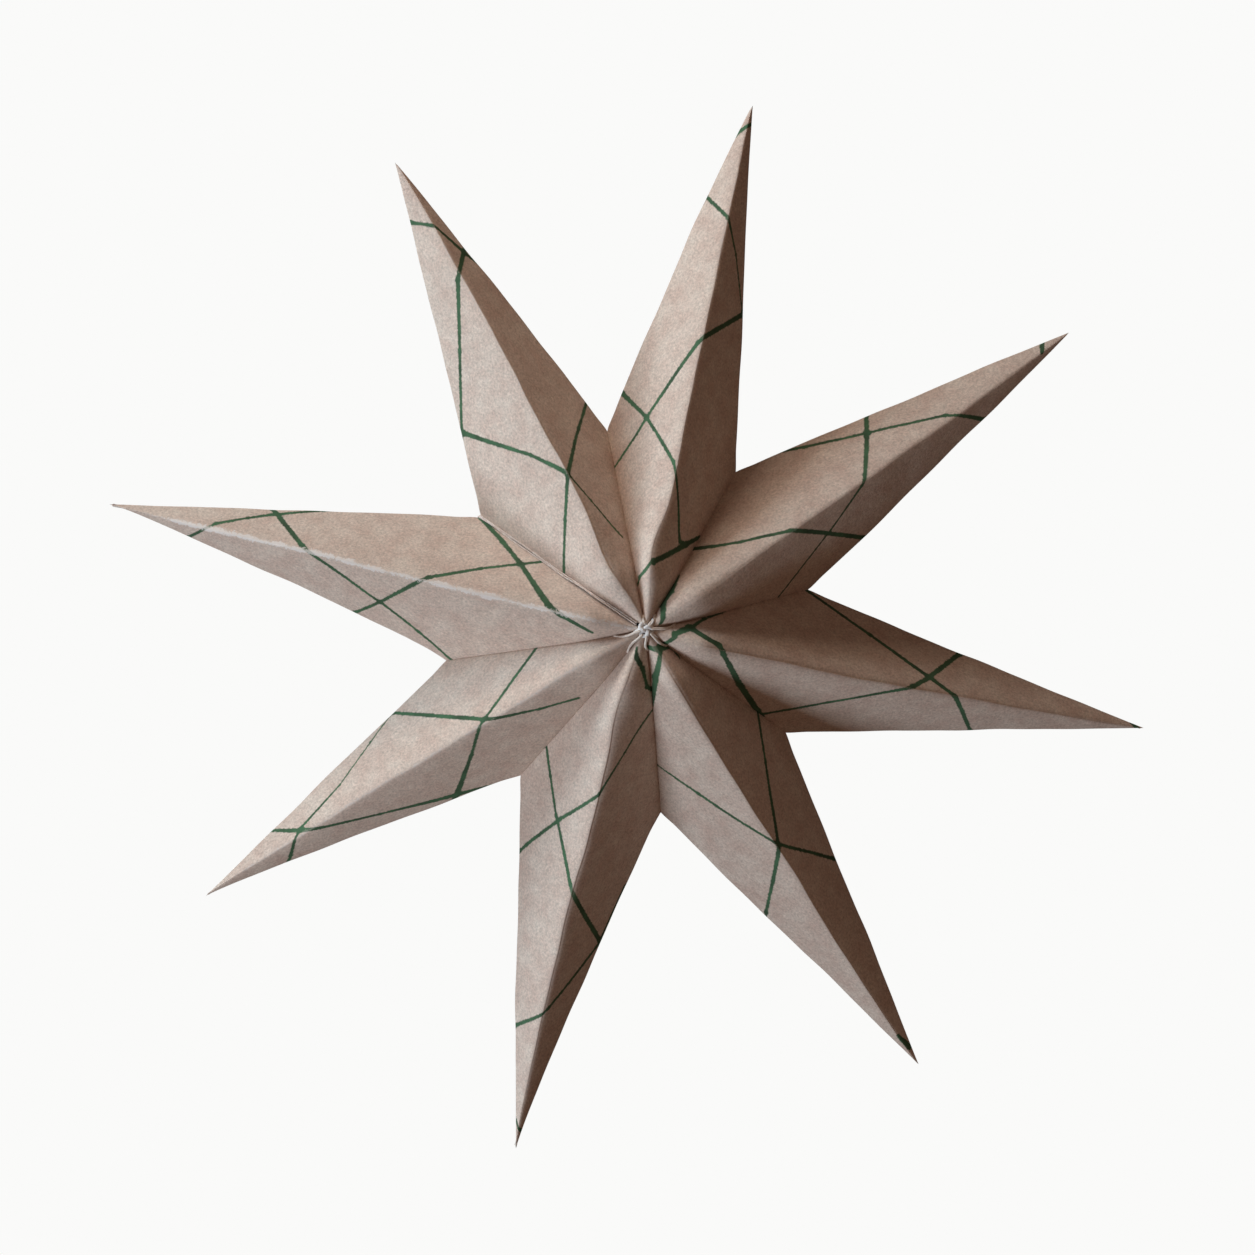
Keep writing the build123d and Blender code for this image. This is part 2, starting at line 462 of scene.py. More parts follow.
def flap(point, side, facing, sizes, places, flat):
    """The glued strip that a facet turns into at its valley, down to a straight inner edge.

    In the valley's own upright plane both of its long edges are straight lines towards the hub, one
    flap's width apart, and both dip with the paper at the hub.
    """
    rows = len(row_shares(point, sizes)[0])
    top = places[:rows, -1]
    notch = point.notches[side]
    far = np.hypot(*notch)
    slope = np.arctan(point.apex / far)
    outward = notch / far
    share = (row_shares(point, sizes)[0] / bend_of(point))[:, None]
    inward = share * (-sizes.flap / np.sin(slope)) * outward
    down = (1 - share) * (-sizes.flap / np.cos(slope)) * facing
    step = np.concatenate([inward, down], axis=-1)
    depth = np.linspace(0, 1, 5)
    strip = top[:, None] + depth[None, :, None] * step[:, None]
    line = flat[rows - 1, -1] - flat[0, -1]
    away = side * facing * np.array([-line[1], line[0]]) / np.linalg.norm(line)
    unrolled = flat[:rows, -1][:, None] + depth[None, :, None] * away * sizes.flap / MM
    return strip, unrolled, np.full(strip.shape[:2], FLAP_GAP)


def point_patches(point, sizes):
    """The four facets and four flaps of one point, as grids."""
    patches = []
    for side in (LEFT, RIGHT):
        for facing in (FRONT, BACK):
            flip = side * facing < 0
            places, flat, gap = facet(point, side, facing, sizes)
            strip, unrolled, strip_gap = flap(point, side, facing, sizes, places, flat)
            patches.append((places + (0, 0, MIDDLE), quads(*places.shape[:2], flip), flat, gap))
            patches.append((strip + (0, 0, MIDDLE), quads(*strip.shape[:2], flip), unrolled, strip_gap))
    return patches


# ---- materials ----

def add_node(tree, kind, inputs=(), **settings):
    """Add a node with its settings. inputs pairs a socket with a value or with the output that feeds it."""
    node = tree.nodes.new(kind)
    for name, value in settings.items():
        setattr(node, name, value)
    for socket, value in dict(inputs).items():
        if isinstance(value, bpy.types.NodeSocket):
            tree.links.new(value, node.inputs[socket])
        else:
            node.inputs[socket].default_value = value
    return node


FACTOR, NUMBER_A, NUMBER_B, COLOUR_A, COLOUR_B = 0, 2, 3, 6, 7  # sockets of a Mix node
NUMBER_OUT, COLOUR_OUT = 0, 2
INK_RUN = 1.2  # how far from each other strokes begin to run together, in millimetres


def blank_material(name, roughness, specular):
    """A material with one shader, whose constants are typical of fibre and paper, and its tree."""
    material = bpy.data.materials.new(name)
    material.use_nodes = True
    tree = material.node_tree
    shader = tree.nodes["Principled BSDF"]
    shader.inputs["Roughness"].default_value = roughness
    shader.inputs["Specular IOR Level"].default_value = specular
    shader.inputs["IOR"].default_value = 1.5
    return material, tree, shader


def solid(value):
    """A colour property as the four numbers that a socket takes."""
    return (*value, 1.0)


def stroke_group():
    """A node group that gives the distance to one stroke of ink, negative inside it.

    The stroke is straight from start to end, with a half width at each end: the distance to the nearest
    point of its middle line, less the half width there.
    """
    tree = bpy.data.node_groups.new("Stroke of ink", "ShaderNodeTree")
    for name in ("Place", "Start", "End"):
        tree.interface.new_socket(name, in_out="INPUT", socket_type="NodeSocketVector")
    for name in ("Start width", "End width"):
        tree.interface.new_socket(name, in_out="INPUT", socket_type="NodeSocketFloat")
    tree.interface.new_socket("Distance", in_out="OUTPUT", socket_type="NodeSocketFloat")
    given = add_node(tree, "NodeGroupInput").outputs
    out = add_node(tree, "ShaderNodeVectorMath", {0: given["Place"], 1: given["Start"]}, operation="SUBTRACT")
    line = add_node(tree, "ShaderNodeVectorMath", {0: given["End"], 1: given["Start"]}, operation="SUBTRACT")
    reach = add_node(tree, "ShaderNodeVectorMath", {0: out.outputs[0], 1: line.outputs[0]},
                     operation="DOT_PRODUCT")
    square = add_node(tree, "ShaderNodeVectorMath", {0: line.outputs[0], 1: line.outputs[0]},
                      operation="DOT_PRODUCT")
    share = add_node(tree, "ShaderNodeMath", {0: reach.outputs["Value"], 1: square.outputs["Value"]},
                     operation="DIVIDE", use_clamp=True)
    foot = add_node(tree, "ShaderNodeVectorMath", {0: line.outputs[0], "Scale": share.outputs[0]},
                    operation="SCALE")
    gap = add_node(tree, "ShaderNodeVectorMath", {0: out.outputs[0], 1: foot.outputs[0]},
                   operation="DISTANCE")
    width = add_node(tree, "ShaderNodeMix", {FACTOR: share.outputs[0], NUMBER_A: given["Start width"],
                                             NUMBER_B: given["End width"]}, data_type="FLOAT")
    inside = add_node(tree, "ShaderNodeMath", {0: gap.outputs["Value"], 1: width.outputs[NUMBER_OUT]},
                      operation="SUBTRACT")
    add_node(tree, "NodeGroupOutput", {"Distance": inside.outputs[0]})
    return tree


def ink_distance(tree, strokes, group):
    """The distance in millimetres to the nearest stroke on the flat sheet. Strokes that meet run together."""
    flat = add_node(tree, "ShaderNodeUVMap", uv_map="sheet").outputs[0]
    nearest = None
    for stroke in strokes:
        for start, end in zip(stroke, stroke[1:]):
            one = add_node(tree, "ShaderNodeGroup", {}, node_tree=group)
            tree.links.new(flat, one.inputs["Place"])
            one.inputs["Start"].default_value = (*start[:2], 0)
            one.inputs["End"].default_value = (*end[:2], 0)
            one.inputs["Start width"].default_value = start[2]
            one.inputs["End width"].default_value = end[2]
            if nearest is None:
                nearest = one.outputs[0]
            else:
                nearest = add_node(tree, "ShaderNodeMath", {0: nearest, 1: one.outputs[0], 2: INK_RUN},
                                   operation="SMOOTH_MIN").outputs[0]
    return nearest


def add_textures(tree, value, terms):
    """A value with textures added to it, each times its own weight."""
    for texture, weight in terms:
        value = add_node(tree, "ShaderNodeMath", {0: texture, 1: weight, 2: value},
                         operation="MULTIPLY_ADD").outputs[0]
    return value


def printed_paper(point, colours, group):
    """Handmade rag paper, couched and dried on felt, with lines screen-printed in green water-based ink.

    It is dull all over, cloudy at 6 mm where the pulp is thicker, streaked at 2 mm by its longer fibres
    and speckled at 0.7 mm by the short ones. Its ridges are rubbed paler in patches, and the ink is cracked
    there.
    """
    material, tree, shader = blank_material(f"Printed rag paper {point.number}", 0.88, 0.2)
    place = add_node(tree, "ShaderNodeTexCoord").outputs["Object"]
    # the textures' sizes are in millimetres, with their detail, roughness and distortion
    clouds, fibres, grit = (
        add_node(tree, "ShaderNodeTexNoise", {"Vector": place, "Scale": 1 / (size * MM), "Detail": detail,
                                              "Roughness": rough, "Distortion": bent}).outputs["Fac"]
        for size, detail, rough, bent in ((6, 3.0, 0.6, 0.0), (2.2, 4.0, 0.65, 1.5), (0.7, 3.0, 0.75, 0.0))
    )
    cloudy = add_node(tree, "ShaderNodeMapRange", {"Value": clouds, "From Min": 0.3,
                                                   "From Max": 0.7}).outputs[0]
    paper = add_node(tree, "ShaderNodeMix", {FACTOR: cloudy, COLOUR_A: solid(colours.paper),
                                             COLOUR_B: solid(colours.blush)}, data_type="RGBA")
    speck = add_node(tree, "ShaderNodeMapRange", {"Value": grit, "From Min": 0.25, "From Max": 0.75,
                                                  "To Min": 0.66, "To Max": 1.24})
    felted = add_node(tree, "ShaderNodeMapRange", {"Value": fibres, "From Min": 0.25, "From Max": 0.75,
                                                   "To Min": 0.94, "To Max": 1.06})
    shade = add_node(tree, "ShaderNodeMath", {0: speck.outputs[0], 1: felted.outputs[0]},
                     operation="MULTIPLY")
    speckled = add_node(tree, "ShaderNodeMix", {FACTOR: 1.0, COLOUR_A: paper.outputs[COLOUR_OUT],
                                                COLOUR_B: shade.outputs[0]}, data_type="RGBA",
                        blend_type="MULTIPLY")

    # the ridge rubbed pale, raggedly, to about a millimetre to each side where it is worn most
    gap = add_node(tree, "ShaderNodeAttribute", attribute_name="ridge_gap").outputs["Fac"]
    broken = add_textures(tree, gap, ((fibres, 3.6), (cloudy, -1.8), (grit, 3.6)))
    wear = MAKING[point.number].wear
    start = 2.2 + 1.4 * wear
    rubbed = add_node(tree, "ShaderNodeMapRange", {"Value": broken, "From Min": start, "To Min": wear,
                                                   "From Max": start + 0.6, "To Max": 0.0}).outputs[0]
    worn = add_node(tree, "ShaderNodeMix", {FACTOR: rubbed, COLOUR_A: speckled.outputs[COLOUR_OUT],
                                            COLOUR_B: solid(colours.fold)}, data_type="RGBA")

    # ink, uneven in width, ragged at its edge, thin over the pulp's thick patches and cracked at the ridge
    nearest = ink_distance(tree, PRINT[point.number] + BACK_PRINT, group)
    edge = add_textures(tree, nearest, ((fibres, 0.7), (grit, 0.5)))
    inked = add_node(tree, "ShaderNodeMapRange", {"Value": edge, "From Min": 0.44, "From Max": 0.76,
                                                  "To Min": 0.96, "To Max": 0.0})
    whole = add_node(tree, "ShaderNodeMath", {0: rubbed, 1: -0.85, 2: 1.0}, operation="MULTIPLY_ADD")
    ink = add_node(tree, "ShaderNodeMath", {0: inked.outputs[0], 1: whole.outputs[0]}, operation="MULTIPLY")
    green = add_node(tree, "ShaderNodeMix", {FACTOR: cloudy, COLOUR_A: solid(colours.ink),
                                             COLOUR_B: solid(colours.ink_thin)}, data_type="RGBA")
    final = add_node(tree, "ShaderNodeMix", {FACTOR: ink.outputs[0], COLOUR_A: worn.outputs[COLOUR_OUT],
                                             COLOUR_B: green.outputs[COLOUR_OUT]}, data_type="RGBA")
    tree.links.new(final.outputs[COLOUR_OUT], shader.inputs["Base Color"])

    # the sheet in relief: cockles at 6 mm, felted fibres at 2 mm and the tooth at 0.7 mm
    under = {}
    for texture, relief in ((clouds, 0.2 * MM), (fibres, 0.1 * MM), (grit, 0.12 * MM)):
        bump = add_node(tree, "ShaderNodeBump", {"Height": texture, "Strength": 0.8, "Distance": relief,
                                                 **under})
        under = {"Normal": bump.outputs[0]}
    tree.links.new(bump.outputs[0], shader.inputs["Normal"])
    return material


def plain_fibre(name, base, dark, grain, relief, roughness=0.85):
    """A plain fibrous finish: two shades clouded together at one grain size, with that grain in relief."""
    material, tree, shader = blank_material(name, roughness, 0.25)
    place = add_node(tree, "ShaderNodeTexCoord").outputs["Object"]
    grains = add_node(tree, "ShaderNodeTexNoise", {"Vector": place, "Scale": 1 / grain, "Detail": 4.0,
                                                   "Roughness": 0.65}).outputs["Fac"]
    shares = add_node(tree, "ShaderNodeMapRange", {"Value": grains, "From Min": 0.3, "From Max": 0.7})
    mixed = add_node(tree, "ShaderNodeMix", {FACTOR: shares.outputs[0], COLOUR_A: solid(base),
                                             COLOUR_B: solid(dark)}, data_type="RGBA")
    tree.links.new(mixed.outputs[COLOUR_OUT], shader.inputs["Base Color"])
    bump = add_node(tree, "ShaderNodeBump", {"Height": grains, "Strength": 0.7, "Distance": relief})
    tree.links.new(bump.outputs[0], shader.inputs["Normal"])
    return material


# ---- the print: strokes on the flat sheet, each point (along the ridge from the apex, across it to the
# left, half width), in millimetres. A stroke that leaves a side edge carries on over it onto the back.

FAINT, FINE, LINE, BOLD, BROAD = 0.26, 0.36, 0.55, 0.78, 1.02

PRINT = {
    1: [
        [(141, 13, LINE), (136, 6, LINE), (130, -1, LINE), (122, -8, BOLD), (112, -18, LINE)],
        [(132, -22, LINE), (122, -8, BOLD), (114, 2, BOLD), (98, 14, LINE), (80, 28, LINE), (60, 46, LINE)],
        [(96, 46, LINE), (79, 28, BOLD), (61, 9, LINE), (50, 0, BOLD)],
        [(84, -46, LINE), (71, -28, LINE), (63, -17, LINE), (50, 0, BOLD)],
        [(50, 0, LINE), (41, -5, FINE), (29, -12, FINE)],
        [(50, 0, BOLD), (40, 9, LINE), (28, 19, LINE)],
    ],
    2: [
        [(142, 10, LINE), (146, 4, BOLD), (150, -2, LINE)],
        [(137, 18, LINE), (129, 10, LINE), (121, 0, LINE), (113, -8, FINE), (88, -26, FINE)],
        [(112, -38, LINE), (99, -18, BOLD), (84, 2, BOLD), (63, 17, LINE), (48, 28, FINE)],
        [(84, 47, LINE), (71, 29, BOLD), (63, 17, LINE), (49, 2, LINE), (29, -10, LINE), (29, -13, LINE)],
        [(33, -19, LINE), (29, -13, BOLD), (20, -1, BOLD), (16, 7, LINE), (12, 8, LINE)],
    ],
    3: [
        [(149, 7, LINE), (147, 4, BOLD), (143, 0, LINE)],
        [(48, 46, LINE), (75, 25, LINE), (90, 15, LINE), (109, 3, LINE), (121, -11, BOLD), (140, -34, LINE)],
        [(106, 35, LINE), (90, 15, BOLD), (76, -1, LINE), (64, -12, FINE), (44, -28, FINE)],
        [(28, 18, BOLD), (39, 9, LINE), (51, 1, BOLD), (76, -27, BOLD), (90, -44, LINE)],
        [(19, 12, BOLD), (14, 8, BOLD), (10, 6, BOLD), (5, -1, BOLD)],
    ],
    4: [
        [(151, 2, LINE), (155, -2, BOLD)],
        [(44, 43, LINE), (55, 33, LINE), (72, 19, LINE), (88, 6, BOLD), (95, 0, BOLD), (108, -17, LINE),
         (126, -38, LINE)],
        [(110, 30, LINE), (100, 18, BOLD), (88, 6, BOLD), (82, 1, BOLD), (62, -15, LINE), (47, -29, LINE)],
        [(14, 6, BROAD), (22, 2, BROAD), (24, -2, BOLD), (35, -16, BROAD), (45, -27, BROAD), (48, -30, BOLD)],
        [(14, 6, LINE), (19, 11, FINE), (26, 16, FINE)],
        [(14, 6, BROAD), (9, 2, BOLD), (7, -5, BOLD)],
    ],
    5: [
        [(148, 0, BOLD), (153, 1, BROAD)],
        [(43, -27, FINE), (55, -17, LINE), (76, 1, LINE), (96, 19, LINE), (112, 34, LINE)],
        [(46, 27, LINE), (58, 17, LINE), (76, 1, BOLD)],
        [(76, 1, BOLD), (88, -10, LINE), (99, -20, LINE), (116, -36, LINE)],
        [(9, 6, BOLD), (7, 2, BROAD), (5, -4, BOLD)],
        [(7, 2, BOLD), (15, -7, BROAD), (24, -15, LINE)],
        [(7, 2, LINE), (10, 6, FINE), (14, 7, FINE)],
    ],
    6: [
        [(97, -42, LINE), (81, -28, LINE), (64, -14, LINE), (50, 0, LINE), (38, 7, FINE), (25, 14, FINE)],
        [(48, -28, LINE), (64, -16, LINE), (79, -2, BOLD), (101, 20, BOLD), (119, 38, LINE)],
        [(78, 34, LINE), (84, 25, LINE), (101, 19, LINE), (118, 2, LINE), (129, -11, LINE), (143, -25, LINE)],
        [(154, -4, LINE), (158, 2, LINE)],
        [(6, -1, BOLD), (8, 0, BOLD), (12, 4, LINE), (18, 8, LINE), (20, 12, LINE)],
    ],
    7: [
        [(99, -37, LINE), (82, -25, LINE), (54, -2, BOLD), (40, 7, LINE), (30, 12, LINE)],
        [(32, -19, LINE), (54, -2, LINE), (65, 10, LINE), (79, 24, BROAD), (95, 41, LINE)],
        [(64, 34, LINE), (79, 24, BROAD), (98, 12, LINE), (118, -2, BOLD), (128, -9, LINE), (142, -20, LINE)],
        [(78, -29, FAINT), (91, -19, FAINT), (103, -10, FAINT), (118, -3, LINE), (126, 6, LINE),
         (133, 13, LINE)],
    ],
    8: [
        [(146, 20, LINE), (136, 8, LINE), (128, -3, LINE), (115, -12, LINE), (102, -19, LINE),
         (84, -29, LINE)],
        [(129, -30, LINE), (116, -15, BOLD), (102, -2, BOLD), (79, 16, LINE), (68, 26, LINE), (50, 43, LINE)],
        [(98, 38, LINE), (87, 25, LINE), (79, 16, LINE), (64, -2, BOLD), (52, -11, LINE), (37, -20, LINE)],
        [(70, -44, BOLD), (59, -33, BOLD), (50, -25, BOLD), (42, -17, BOLD), (29, -2, BROAD), (25, 1, BROAD),
         (16, 6, LINE)],
    ],
}

# strokes that show only on the back, alike on both of its facets
BACK_PRINT = [
    [(101, side * 24, LINE), (88, side * 42, LINE), (72, side * 64, LINE)]
    for side in (LEFT, RIGHT)
] + [
    [(70, side * 34, LINE), (84, side * 42, LINE), (104, side * 44, LINE)]
    for side in (LEFT, RIGHT)
]


# ---- pieces ----

class STAR_OT_points(bpy.types.Operator):
    """Fold the eight printed sheets into hollow points"""

    bl_idname = "paper_star.points"
    bl_label = "Printed points"

    def execute(self, context):
        sizes, colours = context.scene.star_sizes, context.scene.star_colours
        group = stroke_group()
        core = plain_fibre("Raw rag paper core", colours.core, colours.paper, 0.8 * MM, 0.05 * MM)
        for point in STAR:
            name = f"point_{point.number}_paper"
            paper = printed_paper(point, colours, group)
            piece = mesh_piece(name, point_patches(point, sizes), [paper, core])
            thicken(piece, sizes.paper, INWARDS).material_offset_rim = 1  # the cut edges show the core
            settle(piece, f"point_{point.number}", [f"point_{point.number}_sheet"], point)
        return {"FINISHED"}


RAW_EDGE_START = 0.8  # where a raw edge starts, as a share of the throat
RAW_EDGE_RADIUS = 0.95  # as a share of the paper's thickness, because two sheets meet there

# for the valley on each point's right: how far its two flaps' raw edge reaches from the hub axis, how high it
# stands above the valley, and how far it curls to the left, in millimetres. The seam has the end leaves
RAW_EDGES = {
    1: (4.0, 1.0, 0.2),
    2: (5.0, 1.4, -0.6),
    3: (8.6, 1.9, -1.2),
    4: (7.6, 1.9, -0.9),
    5: (6.0, 1.9, -0.9),
    6: (8.2, 1.9, -1.2),
    7: (9.0, 1.9, 1.1),
}


def raw_edge_path(point, facing, sizes):
    """The middle line of a raw edge, from beside the knot out along the valley on a point's right.

    It stands above the valley by its lift times one minus the share along squared, times a factor that grows
    from 0.7 to 1.3, and curls aside by a half sine wave times that share.
    """
    end, lift, curl = (size * MM for size in RAW_EDGES[point.number])
    share = np.linspace(0, 1, 40)
    start = sizes.throat * RAW_EDGE_START
    reach = start + share * (end - start)
    outward = point.notches[RIGHT] / np.hypot(*point.notches[RIGHT])
    leftward = np.array([-outward[1], outward[0]])
    plan = reach[:, None] * outward + (curl * np.sin(np.pi * share) * share)[:, None] * leftward
    stand = lift * (1 - share ** 2) * (0.7 + 0.6 * share)
    height = valley_height(point, RIGHT, reach, sizes) + stand
    return np.column_stack([plan, facing * height + MIDDLE])


class STAR_OT_raw_edges(bpy.types.Operator):
    """Raise the raw inner edge of each sheet, where it curls up beside the knot"""

    bl_idname = "paper_star.raw_edges"
    bl_label = "Raw edges at the hub"

    def execute(self, context):
        sizes, colours = context.scene.star_sizes, context.scene.star_colours
        core = plain_fibre("Torn rag paper edge", colours.core, colours.paper, 0.6 * MM, 0.04 * MM)
        for point in STAR:
            if point.number not in RAW_EDGES:
                continue
            patches = []
            for facing in (FRONT, BACK):
                path = raw_edge_path(point, facing, sizes)
                patches.append(tube(path, np.array([UP] * len(path)), sizes.paper * RAW_EDGE_RADIUS))
            piece = mesh_piece(f"point_{point.number}_raw_edge", patches, [core])
            settle(piece, f"point_{point.number}", [], point)
        return {"FINISHED"}


LEAF_START = 1.2 * MM  # from the throat to the end leaves
MARGIN_CHANGE = (0.42, 0.66)  # between which shares of the seam its margin changes
LEAF_SWAY = 0.2 * MM  # how far the first leaf's outer edge wanders aside. The eighth's wanders twice as far


def seam_curve(sizes, near, beyond, count=120):
    """The closing seam's outline in its own plane, from the front of the hub round the notch to the back.

    Distance from the hub axis and height both follow the valley, moved out square to it by one margin near
    the hub and by another beyond, with a smooth S between them about halfway along.
    """
    last = STAR[-1]
    far = np.hypot(*last.notches[RIGHT])
    reach = np.linspace(sizes.throat + LEAF_START, far, count)
    height = valley_height(last, RIGHT, reach, sizes)
    slope = np.gradient(height, reach)
    square = np.hypot(1, slope)
    proud = near + (beyond - near) * soft_step(reach / far, *MARGIN_CHANGE)
    out, up = reach - proud * slope / square, height + proud / square
    keep = up > 0
    out, up = out[keep], up[keep]
    nose = far + beyond * np.hypot(1, 1 / slope[-1])
    return np.concatenate([out, [nose], out[::-1]]), np.concatenate([up, [0], -up[::-1]])


def seam_sheet(sizes, near, beyond, width, shift, seed=0):
    """A sheet in the seam's plane, from an outline inwards by a width, or to the hub where width is None.

    Its places are the outline moved straight towards the hub axis and shifted sideways, and its outer edge
    wanders by a seeded wave as high as the leaf sway times the seed.
    """
    reach, height = seam_curve(sizes, near, beyond)
    inner = np.full_like(reach, sizes.throat + LEAF_START)
    if width is not None:
        inner = np.maximum(inner, reach - width)
    columns = np.linspace(0, 1, 8) ** 1.5
    out = reach[:, None] + columns * (inner - reach)[:, None]
    outward = STAR[-1].notches[RIGHT] / np.hypot(*STAR[-1].notches[RIGHT])
    leftward = np.array([-outward[1], outward[0]])
    share = np.linspace(0, 1, len(reach))[:, None]
    sway = shift + seed * LEAF_SWAY * wave(share, [SEED, 40 + seed], (3.1, 6.1, 13.0)) * (1 - columns)
    plan = out[..., None] * outward + sway[..., None] * leftward
    upright = np.broadcast_to(height[:, None, None], (*out.shape, 1)) + MIDDLE
    places = np.concatenate([plan, upright], axis=-1)
    return places, quads(*out.shape, False), None, None


class STAR_OT_seam(bpy.types.Operator):
    """Close the star with its two end leaves and the tape between them"""

    bl_idname = "paper_star.seam"
    bl_label = "End leaves and tape"

    def execute(self, context):
        sizes, colours = context.scene.star_sizes, context.scene.star_colours
        card = plain_fibre("Pressed rag card", colours.leaf, colours.blush, 1.5 * MM, 0.06 * MM)
        film = plain_fibre("Tissue adhesive tape", colours.tape, colours.paper, 2.0 * MM, 0.02 * MM, 0.55)
        lift = (sizes.tape + sizes.leaf) / 2
        # near and beyond are how proud each leaf is, near the hub and farther out, as shares of leaf_proud
        for number, shift, near, beyond, seed in ((1, -lift, 0.3, 0.15, 1), (8, lift, 1.0, 0.3, 2)):
            margins = near * sizes.leaf_proud, beyond * sizes.leaf_proud
            leaf = mesh_piece(f"leaf_{number}", [seam_sheet(sizes, *margins, None, shift, seed)], [card])
            thicken(leaf, sizes.leaf, BOTH_WAYS)
            settle(leaf, f"point_{number}", [f"end_leaf_{number}"], STAR[number - 1])
        sheet = seam_sheet(sizes, -sizes.tape_inset, -sizes.tape_inset, sizes.tape_width, 0.0)
        strip = mesh_piece("closing_strip", [sheet], [film])
        thicken(strip, sizes.tape, BOTH_WAYS)
        settle(strip, "point_1", ["closing_tape"], STAR[0])
        return {"FINISHED"}


KNOT_RING, KNOT_WIND = 1.05 * MM, 0.75 * MM  # radii of the knot's ring and of its winding round the ring
KNOT_DEPTH = 2.3 * MM  # from the end of the frame's thread to the middle of a knot
PLY = 0.14  # how much farther out the two strands bulge than a round thread would
TAILS = ((30, 3.0 * MM), (170, 2.6 * MM))  # each cut end's direction in degrees and its length


def frame_height(node):
    """How far a node reaches above the middle plane."""
    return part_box(node)[1][2] - MIDDLE


def knot_path(height, facing):
    """A pulled overhand knot: a line that winds three times round a small ring as it goes round twice."""
    turn = np.linspace(0, 2 * np.pi, 181)
    reach = KNOT_RING + KNOT_WIND * np.cos(3 * turn)
    path = np.column_stack([
        reach * np.cos(2 * turn),
        reach * np.sin(2 * turn),
        KNOT_WIND * 0.9 * np.sin(3 * turn) + facing * height + MIDDLE,
    ])
    outward = np.column_stack([
        np.cos(3 * turn) * np.cos(2 * turn),
        np.cos(3 * turn) * np.sin(2 * turn),
        np.sin(3 * turn),
    ])
    return path, outward


def tail_path(way, end, height, facing):
    """A cut end of thread: it leaves the knot outwards, turns aside by 25 degrees and sinks as a parabola."""
    share = np.linspace(0, 1, 40)
    angle = np.radians(way + 25 * share)
    reach = 0.8 * MM + share * end
    drop = facing * (height + (0.6 - 0.9 * share ** 2) * MM) + MIDDLE
    return np.column_stack([reach * np.cos(angle), reach * np.sin(angle), drop])


class STAR_OT_thread(bpy.types.Operator):
    """Tie the thread through the hub, with a knot at the front and at the back"""

    bl_idname = "paper_star.thread"
    bl_label = "Hub thread"

    def execute(self, context):
        sizes, colours = context.scene.star_sizes, context.scene.star_colours
        cotton = plain_fibre("Bleached cotton thread", colours.thread, colours.leaf, 0.3 * MM, 0.03 * MM)
        radius = sizes.thread / 2
        # a strand makes one turn in three thicknesses, and each of two strands shows once in half a turn
        twist = 2 * np.pi / (3 * sizes.thread)
        height = frame_height("hub_thread") - KNOT_DEPTH
        patches = []
        for facing in (FRONT, BACK):
            path, outward = knot_path(height, facing)
            patches.append(tube(path, outward, radius, PLY, twist))
            for way, end in TAILS:
                tail = tail_path(way, end, height, facing)
                patches.append(tube(tail, np.array([UP] * len(tail)), radius * 0.65, PLY, twist))
        # the straight run between the knots
        axis = np.zeros((200, 3))
        axis[:, 2] = np.linspace(MIDDLE - height, MIDDLE + height, 200)
        patches.append(tube(axis, np.tile((1.0, 0.0, 0.0), (200, 1)), radius, PLY, twist))
        piece = mesh_piece("knotted_thread", patches, [cotton], 180)
        settle(piece, "point_1", ["hub_thread"])
        return {"FINISHED"}


# ---- stage ----

SOFT_BOX_SIDE = 0.25
FLOOR_SIDE = 6.0


def pale_floor(colours):
    """A matte painted board, pale to the eye. Light that it throws back onto the star is held down."""
    material, tree, shader = blank_material("Matte painted board", 0.9, 0.1)
    shader.inputs["Base Color"].default_value = solid(colours.board)
    seen = add_node(tree, "ShaderNodeLightPath").outputs["Is Camera Ray"]
    bright = add_node(tree, "ShaderNodeEmission", {"Color": solid(colours.floor), "Strength": 1.0})
    shown = add_node(tree, "ShaderNodeMixShader", {0: seen, 1: shader.outputs[0], 2: bright.outputs[0]})
    tree.links.new(shown.outputs[0], tree.nodes["Material Output"].inputs["Surface"])
    return material


def dim_room(colours):
    """The room around the star: a dim warm light on it, and a backdrop as pale as the floor to the eye."""
    world = bpy.data.worlds.new("Room")
    world.use_nodes = True
    tree = world.node_tree
    tree.nodes["Background"].inputs["Color"].default_value = solid(colours.room)
    seen = add_node(tree, "ShaderNodeLightPath").outputs["Is Camera Ray"]
    bright = add_node(tree, "ShaderNodeBackground", {"Color": solid(colours.floor)})
    shown = add_node(tree, "ShaderNodeMixShader", {0: seen, 1: tree.nodes["Background"].outputs[0],
                                                   2: bright.outputs[0]})
    tree.links.new(shown.outputs[0], tree.nodes["World Output"].inputs["Surface"])
    return world


def aim(thing, place, target):
    """Put a lamp or camera at a place, looking at a target, with +Y upwards in its view."""
    forward = (Vector(target) - Vector(place)).normalized()
    right = forward.cross(Vector((0, 1, 0))).normalized()
    up = right.cross(forward)
    for row in range(3):
        thing.matrix_world[row][0] = right[row]
        thing.matrix_world[row][1] = up[row]
        thing.matrix_world[row][2] = -forward[row]
        thing.matrix_world[row][3] = place[row]


